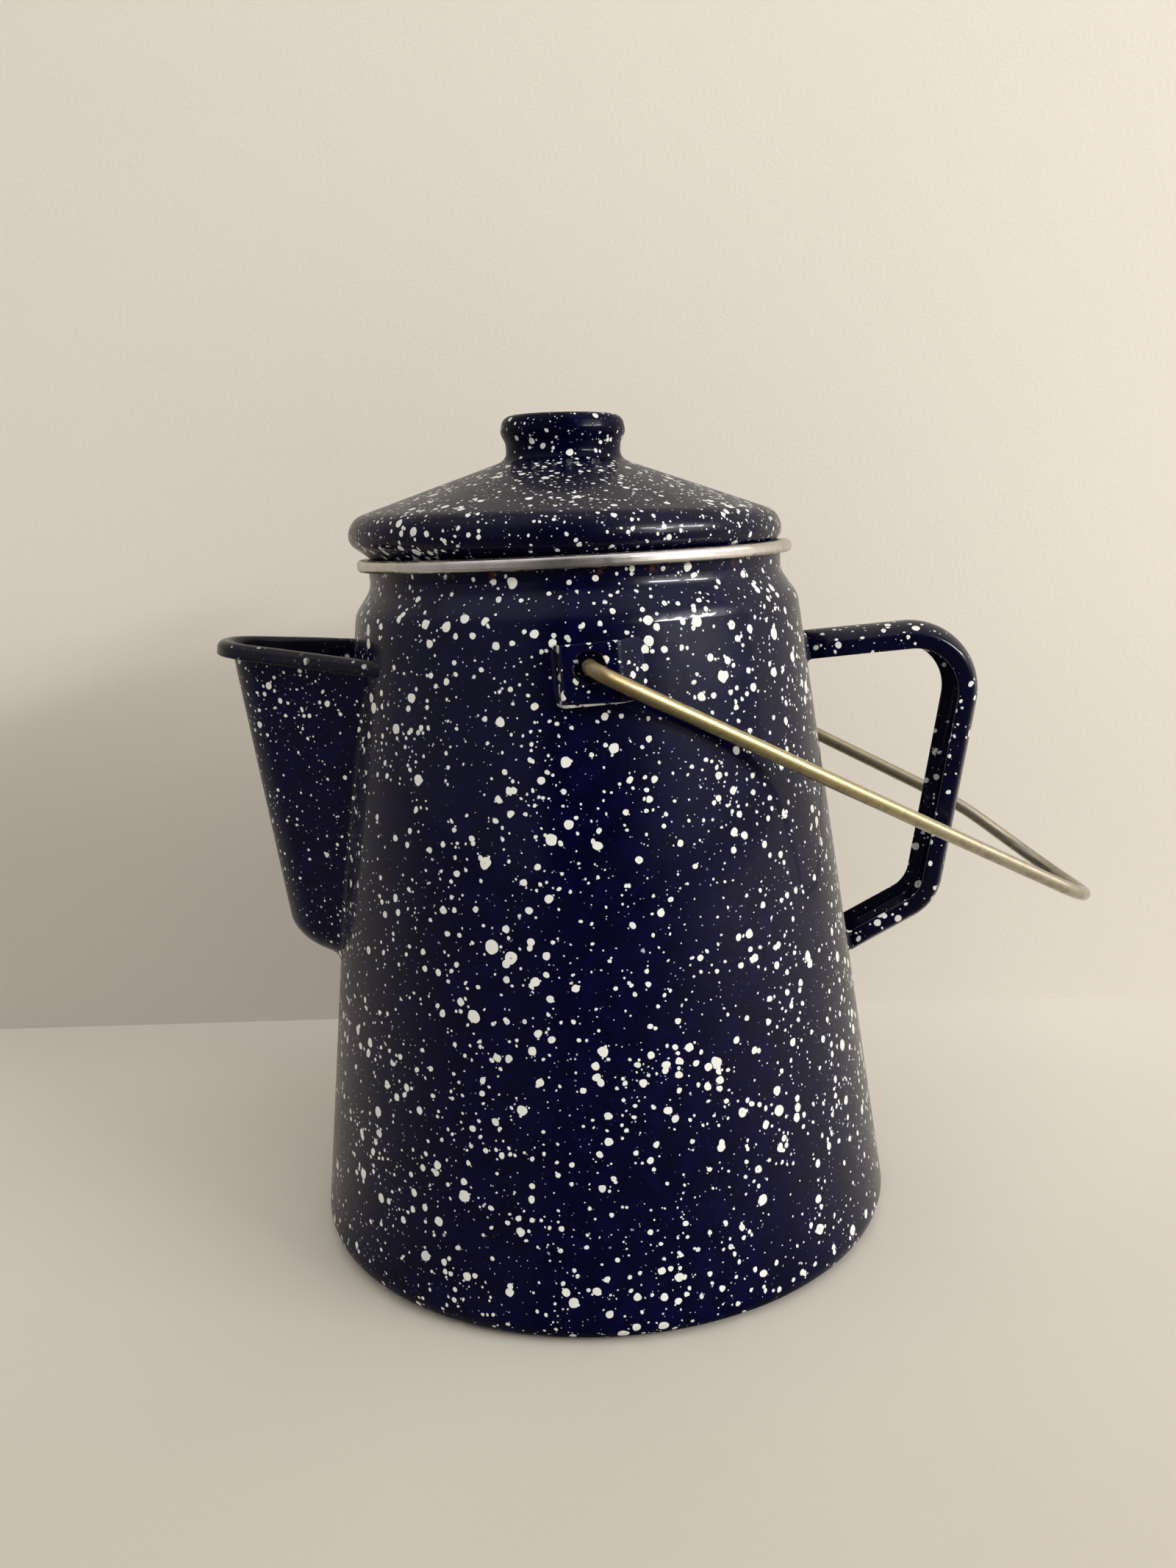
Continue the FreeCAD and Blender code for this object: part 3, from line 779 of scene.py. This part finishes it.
def plain_lip(tree, place, colour, roughness):
    """The spout's lip: charcoal, where the enamel drew thin over the curl and few droplets held."""
    parts = node(tree, "SeparateXYZ", {0: place}).outputs
    slope = calc(tree, "MULTIPLY_ADD", parts[0], SPOUT_MOUTH_FALL, parts[2])
    mouth = SPOUT_NOSE[1] + SPOUT_MOUTH_FALL * SPOUT_NOSE[0]
    near = ramp(tree, slope, (mouth - 5.2) * MM, (mouth - 3.6) * MM)
    kept = ramp(tree, noise_value(tree, place, 0.005, 2.0), 0.50, 0.62, 0.94, 0.35)
    sooty = noise_value(tree, place, 0.002, 3.0)
    charcoal = mix_colour(tree, sooty, (0.0085, 0.0075, 0.0100, 1), (0.0040, 0.0036, 0.0080, 1))
    return mix_colour(tree, calc(tree, "MULTIPLY", near, kept), colour, charcoal), roughness


def rust_and_edge_glints(tree, place, colour, roughness):
    """Painted highlights: pale lines on an ear's low and left edges stand in for glints; rust round the
    hole and at the corners.
    """
    parts = node(tree, "SeparateXYZ", {0: place}).outputs
    rise = calc(tree, "SUBTRACT", parts[2], PIVOT_Z * MM)
    away = distance(tree, parts[0], rise)
    hole_r, near_hole = 0.0038, 0.0043
    ear_foot, above_foot = 0.1566, 0.1576
    left_edge_x = -0.0072
    grain = noise_value(tree, place, 0.0016, 4.0, 0.7)
    hole = calc(tree, "MULTIPLY", ramp(tree, away, near_hole, hole_r), ramp(tree, grain, 0.45, 0.60))
    corner = calc(tree, "MULTIPLY", ramp(tree, parts[2], above_foot, ear_foot),
                  ramp(tree, grain, 0.60, 0.66))
    streak = noise_value(tree, place, 0.0045, 3.0, 0.6)
    # Painted highlight: pale streaks along the ear's low edge and left edge stand in for glints on its
    # rounded edges.
    low_edge = calc(tree, "MULTIPLY", ramp(tree, parts[2], ear_foot + 0.00025, ear_foot),
                    ramp(tree, streak, 0.38, 0.48))
    aside = calc(tree, "ABSOLUTE", calc(tree, "SUBTRACT", parts[0], left_edge_x))
    side_edge = calc(tree, "MULTIPLY", ramp(tree, aside, 0.00040, 0.00015),
                     ramp(tree, streak, 0.58, 0.64))
    edge_glint = calc(tree, "MULTIPLY", calc(tree, "MAXIMUM", low_edge, side_edge), 0.8)
    pale = mix_colour(tree, edge_glint, colour, (0.55, 0.56, 0.56, 1))
    return rusted(tree, place, pale, roughness, calc(tree, "MAXIMUM", hole, corner))


def band_steel():
    """The rim band: satin rolled steel with fine turning marks, and tarnish in its edges."""
    material = bpy.data.materials.new("rim_steel_satin")
    material.use_nodes = True
    tree = material.node_tree
    shader = tree.nodes["Principled BSDF"]
    place = node(tree, "TexCoord").outputs["Object"]
    parts = node(tree, "SeparateXYZ", {0: place}).outputs
    angle = calc(tree, "ARCTAN2", parts[1], parts[0])
    away = distance(tree, parts[0], parts[1])
    along = calc(tree, "MULTIPLY", angle, 0.004)
    round_coords = node(tree, "CombineXYZ", {0: along, 1: away, 2: parts[2]}).outputs[0]
    lines = noise_value(tree, round_coords, 0.00016, 2.0, 0.6)
    stains = noise_value(tree, place, 0.007, 4.0, 0.65)
    stained = ramp(tree, stains, 0.40, 0.68)
    steel = mix_colour(tree, stained, (0.78, 0.74, 0.69, 1), (0.64, 0.59, 0.53, 1))
    band_foot, above_foot = 0.1877, 0.1882
    low_edge = ramp(tree, parts[2], above_foot, band_foot)
    patches = noise_value(tree, place, 0.003, 4.0, 0.7)
    brown = calc(tree, "MULTIPLY", low_edge, ramp(tree, patches, 0.45, 0.6))
    colour = mix_colour(tree, brown, steel, (0.10, 0.055, 0.03, 1))
    tree.links.new(colour, shader.inputs["Base Color"])
    shader.inputs["Metallic"].default_value = 1.0
    rough = ramp(tree, stains, 0.3, 0.7, 0.23, 0.34)
    lined = calc(tree, "ADD", rough, calc(tree, "MULTIPLY", lines, 0.06))
    tree.links.new(lined, shader.inputs["Roughness"])
    dents = node(tree, "Bump", {"Height": noise_value(tree, place, 0.011, 2.0), "Distance": 0.00016})
    marks = node(tree, "Bump", {"Height": lines, "Distance": 0.0000025, "Normal": dents.outputs[0]})
    tree.links.new(marks.outputs[0], shader.inputs["Normal"])
    return material


def bail_steel():
    """The bail: plated wire, brassy near the ears and greyer at its end, with a clear hard film."""
    material = bpy.data.materials.new("bail_steel_tarnished")
    material.use_nodes = True
    tree = material.node_tree
    shader = tree.nodes["Principled BSDF"]
    place = node(tree, "TexCoord").outputs["Object"]
    parts = node(tree, "SeparateXYZ", {0: place}).outputs
    drift = noise_value(tree, place, 0.016, 3.0)
    reach = calc(tree, "MULTIPLY_ADD", drift, 0.05, parts[0])
    greying = ramp(tree, reach, 0.070, 0.150)
    brass = mix_colour(tree, greying, (0.420, 0.355, 0.150, 1), (0.390, 0.350, 0.260, 1))
    fine = noise_value(tree, place, 0.0026, 3.0, 0.6)
    dull = mix_colour(tree, ramp(tree, fine, 0.44, 0.72, 0.0, 0.55), brass, (0.22, 0.16, 0.075, 1))
    ends = ramp(tree, reach, 0.058, 0.022)
    colour = mix_colour(tree, calc(tree, "MULTIPLY", ends, 0.7), dull, (0.26, 0.18, 0.085, 1))
    tree.links.new(colour, shader.inputs["Base Color"])
    shader.inputs["Metallic"].default_value = 0.85
    rough = ramp(tree, fine, 0.35, 0.7, 0.32, 0.44)
    tree.links.new(calc(tree, "MULTIPLY_ADD", ends, 0.15, rough), shader.inputs["Roughness"])
    shader.inputs["Coat Weight"].default_value = 1.0
    shader.inputs["Coat Roughness"].default_value = 0.06
    shader.inputs["Coat IOR"].default_value = 1.6
    streak = noise_value(tree, place, 0.0012, 3.0)
    bump = node(tree, "Bump", {"Height": streak, "Distance": 0.000003})
    tree.links.new(bump.outputs[0], shader.inputs["Normal"])
    return material


def dress(name, material):
    """Give a CAD node's own mesh a finish."""
    for slot in frame["nodes"][name].material_slots:
        slot.material = material


# ---- stage, light and camera ----

def one_sided(name, colour, shade_colour, rough, cloth=False):
    """A matt surface that is seen only from its front, so that it never hides the pot.

    It is darker in the enamel's and the steel's reflections than where it is looked at.
    """
    material = bpy.data.materials.new(name)
    material.use_nodes = True
    tree = material.node_tree
    shader = tree.nodes["Principled BSDF"]
    shader.inputs["Roughness"].default_value = rough
    shader.inputs["Specular IOR Level"].default_value = 0.2
    place = node(tree, "TexCoord").outputs["Object"]
    tone = noise_value(tree, place, 0.25, 4.0, 0.6)
    darker = tuple(c * 0.955 for c in colour[:3]) + (1,)
    plain = mix_colour(tree, tone, colour, darker)
    # Painted shade: the colour turns toward shade_colour towards the camera on the floor and at the
    # wall's foot.
    plain = mix_colour(tree, (floor_painted_shade if cloth else wall_painted_shade)(tree, place), plain, shade_colour)
    in_gloss = node(tree, "LightPath").outputs["Is Glossy Ray"]
    wall_shade = 0.25
    shaded = calc(tree, "MULTIPLY", in_gloss, front_shade(tree, place) if cloth else wall_shade)
    plain = mix_colour(tree, shaded, plain, (0.02, 0.02, 0.02, 1))
    tree.links.new(plain, shader.inputs["Base Color"])
    folds = node(tree, "Bump", {"Height": noise_value(tree, place, 0.30, 2.0),
                                "Distance": 0.010 if cloth else 0.0006})
    grain = node(tree, "Bump", {"Height": noise_value(tree, place, 0.0012, 2.0), "Distance": 0.00006,
                                "Normal": folds.outputs[0]})
    tree.links.new(grain.outputs[0], shader.inputs["Normal"])
    behind = node(tree, "NewGeometry").outputs["Backfacing"]
    clear = node(tree, "BsdfTransparent").outputs[0]
    both = node(tree, "MixShader", {0: behind, 1: shader.outputs[0], 2: clear}).outputs[0]
    tree.links.new(both, tree.nodes["Material Output"].inputs[0])
    return material


def floor_painted_shade(tree, place):
    """Painted shade: the cloth is darker towards the camera than by the wall."""
    return ramp(tree, node(tree, "SeparateXYZ", {0: place}).outputs[1], 0.12, -0.30)


def wall_painted_shade(tree, place):
    """Painted shade: the wall's foot is darkened, deeper on the side away from the window."""
    parts = node(tree, "SeparateXYZ", {0: place}).outputs
    low = ramp(tree, parts[2], 0.20, 0.06)
    aside = ramp(tree, parts[0], 0.10, -0.12, 0.25, 1.0)
    return calc(tree, "MULTIPLY", low, aside)


def front_shade(tree, place):
    """How much of the floor in front of the pot is darkened in reflections, as a person would."""
    parts = node(tree, "SeparateXYZ", {0: place}).outputs
    aside = calc(tree, "ARCTAN2", parts[0], calc(tree, "MULTIPLY", parts[1], -1.0))
    right = ramp(tree, aside, math.radians(22), math.radians(74), 0.96, 0.15)
    near_left = ramp(tree, aside, math.radians(-12), math.radians(-32), 1.0, 0.80)
    left = ramp(tree, aside, math.radians(-40), math.radians(-105), 1.0, 0.35)
    return calc(tree, "MULTIPLY", right, calc(tree, "MULTIPLY", near_left, left))


def plane(name, corners, material):
    mesh = bpy.data.meshes.new(name)
    mesh.from_pydata(corners, [], [tuple(range(len(corners)))])
    mesh.materials.append(material)
    made = bpy.data.objects.new(name, mesh)
    bpy.context.scene.collection.objects.link(made)
    made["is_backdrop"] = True


def build_stage():
    reach = 4.0
    floor = [(-reach, -reach, 0), (reach, -reach, 0), (reach, reach, 0), (-reach, reach, 0)]
    # The second colour is the painted shade towards the camera.
    pale_cloth = one_sided("pale_cloth", (0.73, 0.70, 0.65, 1), (0.53, 0.495, 0.430, 1), 0.9, cloth=True)
    plane("floor", floor, pale_cloth)
    wall_behind = 0.143
    wall_turn = math.radians(-5.2)
    wall_half = 2.2
    wall_top = 2.4
    along = Vector((math.cos(wall_turn), math.sin(wall_turn), 0))
    centre = Vector((0, wall_behind, 0))
    left, right = centre - along * wall_half, centre + along * wall_half
    up = Vector((0, 0, wall_top))
    # The second colour is the painted shade at the wall's foot.
    pale_wall = one_sided("pale_wall", (0.80, 0.765, 0.71, 1), (0.62, 0.59, 0.545, 1), 0.85)
    plane("wall", [left, right, right + up, left + up], pale_wall)


def area_light(name, azimuth, elevation, distance, width, height, power, colour, lit=True,
               mirrored=False):
    """A softbox aimed at the pot. Azimuth 0 is towards the camera and grows to its right.

    lit is whether it lights matt surfaces, mirrored whether it shows in glossy ones.
    """
    light = bpy.data.lights.new(name, "AREA")
    light.shape = "RECTANGLE"
    light.size = width
    light.size_y = height
    light.energy = power
    light.color = colour
    made = bpy.data.objects.new(name, light)
    made.visible_diffuse = lit
    made.visible_glossy = mirrored
    a, e = math.radians(azimuth), math.radians(elevation)
    back = Vector((math.sin(a) * math.cos(e), -math.cos(a) * math.cos(e), math.sin(e)))
    made.location = Vector((0, 0, 0.12)) + back * distance
    made.rotation_euler = (-back).to_track_quat("-Z", "Y").to_euler()
    bpy.context.scene.collection.objects.link(made)


def build_world():
    """A pale room with a dark zone behind the camera, plain pale where the camera sees it."""
    world = bpy.data.worlds.new("room")
    bpy.context.scene.world = world
    world.use_nodes = True
    tree = world.node_tree
    back = tree.nodes["Background"]
    direction = node(tree, "TexCoord").outputs["Generated"]
    parts = node(tree, "SeparateXYZ", {0: direction}).outputs
    azimuth = calc(tree, "ARCTAN2", parts[0], calc(tree, "MULTIPLY", parts[1], -1.0))
    right = ramp(tree, azimuth, math.radians(13), math.radians(50), 0.0, 0.69)
    left = ramp(tree, azimuth, math.radians(-14), math.radians(-32), 0.0, 0.42)
    above = ramp(tree, parts[2], 0.45, 0.90, 0.0, 0.50)
    sides = calc(tree, "ADD", right, left)
    mirrored = calc(tree, "ADD", calc(tree, "ADD", sides, above), 0.01)
    ambient = ramp(tree, parts[2], -0.2, 0.9, 0.29, 0.52)
    plain = 0.66
    paths = node(tree, "LightPath").outputs
    in_gloss, in_view = paths["Is Glossy Ray"], paths["Is Camera Ray"]
    room = node(tree, "Mix", {0: in_gloss, 2: ambient, 3: mirrored}, data_type="FLOAT").outputs[0]
    strength = node(tree, "Mix", {0: in_view, 2: room, 3: plain}, data_type="FLOAT").outputs[0]
    tint = mix_colour(tree, in_gloss, (1.0, 0.95, 0.89, 1), (0.97, 0.96, 1.0, 1))
    tree.links.new(tint, back.inputs["Color"])
    tree.links.new(strength, back.inputs["Strength"])


def build_lights():
    """Soft light from a window on the right, whose two panes show as glints in the enamel."""
    area_light("window", 57, 20, 1.7, 1.05, 0.10, 18, (1.0, 0.97, 0.92))
    pane = (1.0, 0.98, 0.96)
    area_light("left_pane", 47, 20, 1.7, 0.50, 0.10, 20, pane, lit=False, mirrored=True)
    area_light("right_pane", 67, 20, 1.7, 0.42, 0.10, 17, pane, lit=False, mirrored=True)
    area_light("ceiling", 10, 55, 1.9, 1.6, 1.6, 11, (1.0, 0.96, 0.89))
    area_light("left_fill", -75, 30, 2.0, 1.2, 1.2, 3, (1.0, 0.96, 0.90))
    area_light("right_fill", 98, 28, 1.5, 0.9, 0.9, 4.5, (1.0, 0.97, 0.92))


def build_camera():
    """A phone-like lens at the height of the lid, looking a little down and slightly rolled."""
    position = Vector((-13.06, -374.07, 200.1)) * MM
    heading, pitch, roll = math.radians(2.10), math.radians(11.46), math.radians(-2.85)
    forward = Vector((math.sin(heading) * math.cos(pitch), math.cos(heading) * math.cos(pitch),
                      -math.sin(pitch)))
    level = Vector((math.cos(heading), -math.sin(heading), 0))
    upright = level.cross(forward)
    right = level * math.cos(roll) + upright * math.sin(roll)
    up = upright * math.cos(roll) - level * math.sin(roll)
    data = bpy.data.cameras.new("camera")
    data.sensor_width = 36.0
    data.lens = 30.55
    data.clip_start = 0.01
    data.clip_end = 20.0
    camera = bpy.data.objects.new("camera", data)
    turn = Matrix((right, up, -forward)).transposed().to_4x4()
    camera.matrix_world = Matrix.Translation(position) @ turn
    bpy.context.scene.collection.objects.link(camera)
    bpy.context.scene.camera = camera


# ---- build ----

build_camera()
pot_enamel = enamel("enamel_pot", extra=rim_rust)
spout_enamel = enamel("enamel_spout", seed=(0.31, 0.12, 0.05), crowd=0.63, cell_scale=0.76,
                      largest=0.92, extra=plain_lip, depth=1.0)
handle_enamel = enamel("enamel_handle", seed=(0.07, 0.43, 0.21), crowd=0.66, cell_scale=0.95,
                       largest=1.30, depth=0.6)
# The ear's enamel carries rust and painted edge highlights.
ear_enamel = enamel("enamel_ear", extra=rust_and_edge_glints)
lid_enamel = enamel("enamel_lid", seed=(0.52, 0.23, 0.11), crowd=0.87, cell_scale=0.76,
                    largest=0.90, haze=0.05, coat=0.22, depth=0.65)
knob_enamel = enamel("enamel_knob", seed=(0.35, 0.11, 0.27), crowd=0.80, cell_scale=0.80,
                     largest=1.06, coat=0.15, gloss=1.12, depth=0.6)
dress("pot_body", pot_enamel)
dress("rim_band", band_steel())
dress("lid_shell", lid_enamel)
build_spout(spout_enamel, pot_enamel)
build_handle(handle_enamel, pot_enamel)
build_ears(ear_enamel)
build_bail(bail_steel())
build_knob(knob_enamel)
build_stage()
build_world()
build_lights()
bpy.context.scene.view_settings.view_transform = "Standard"

[[list(corner) for corner in box] for box in (cad_box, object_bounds())]
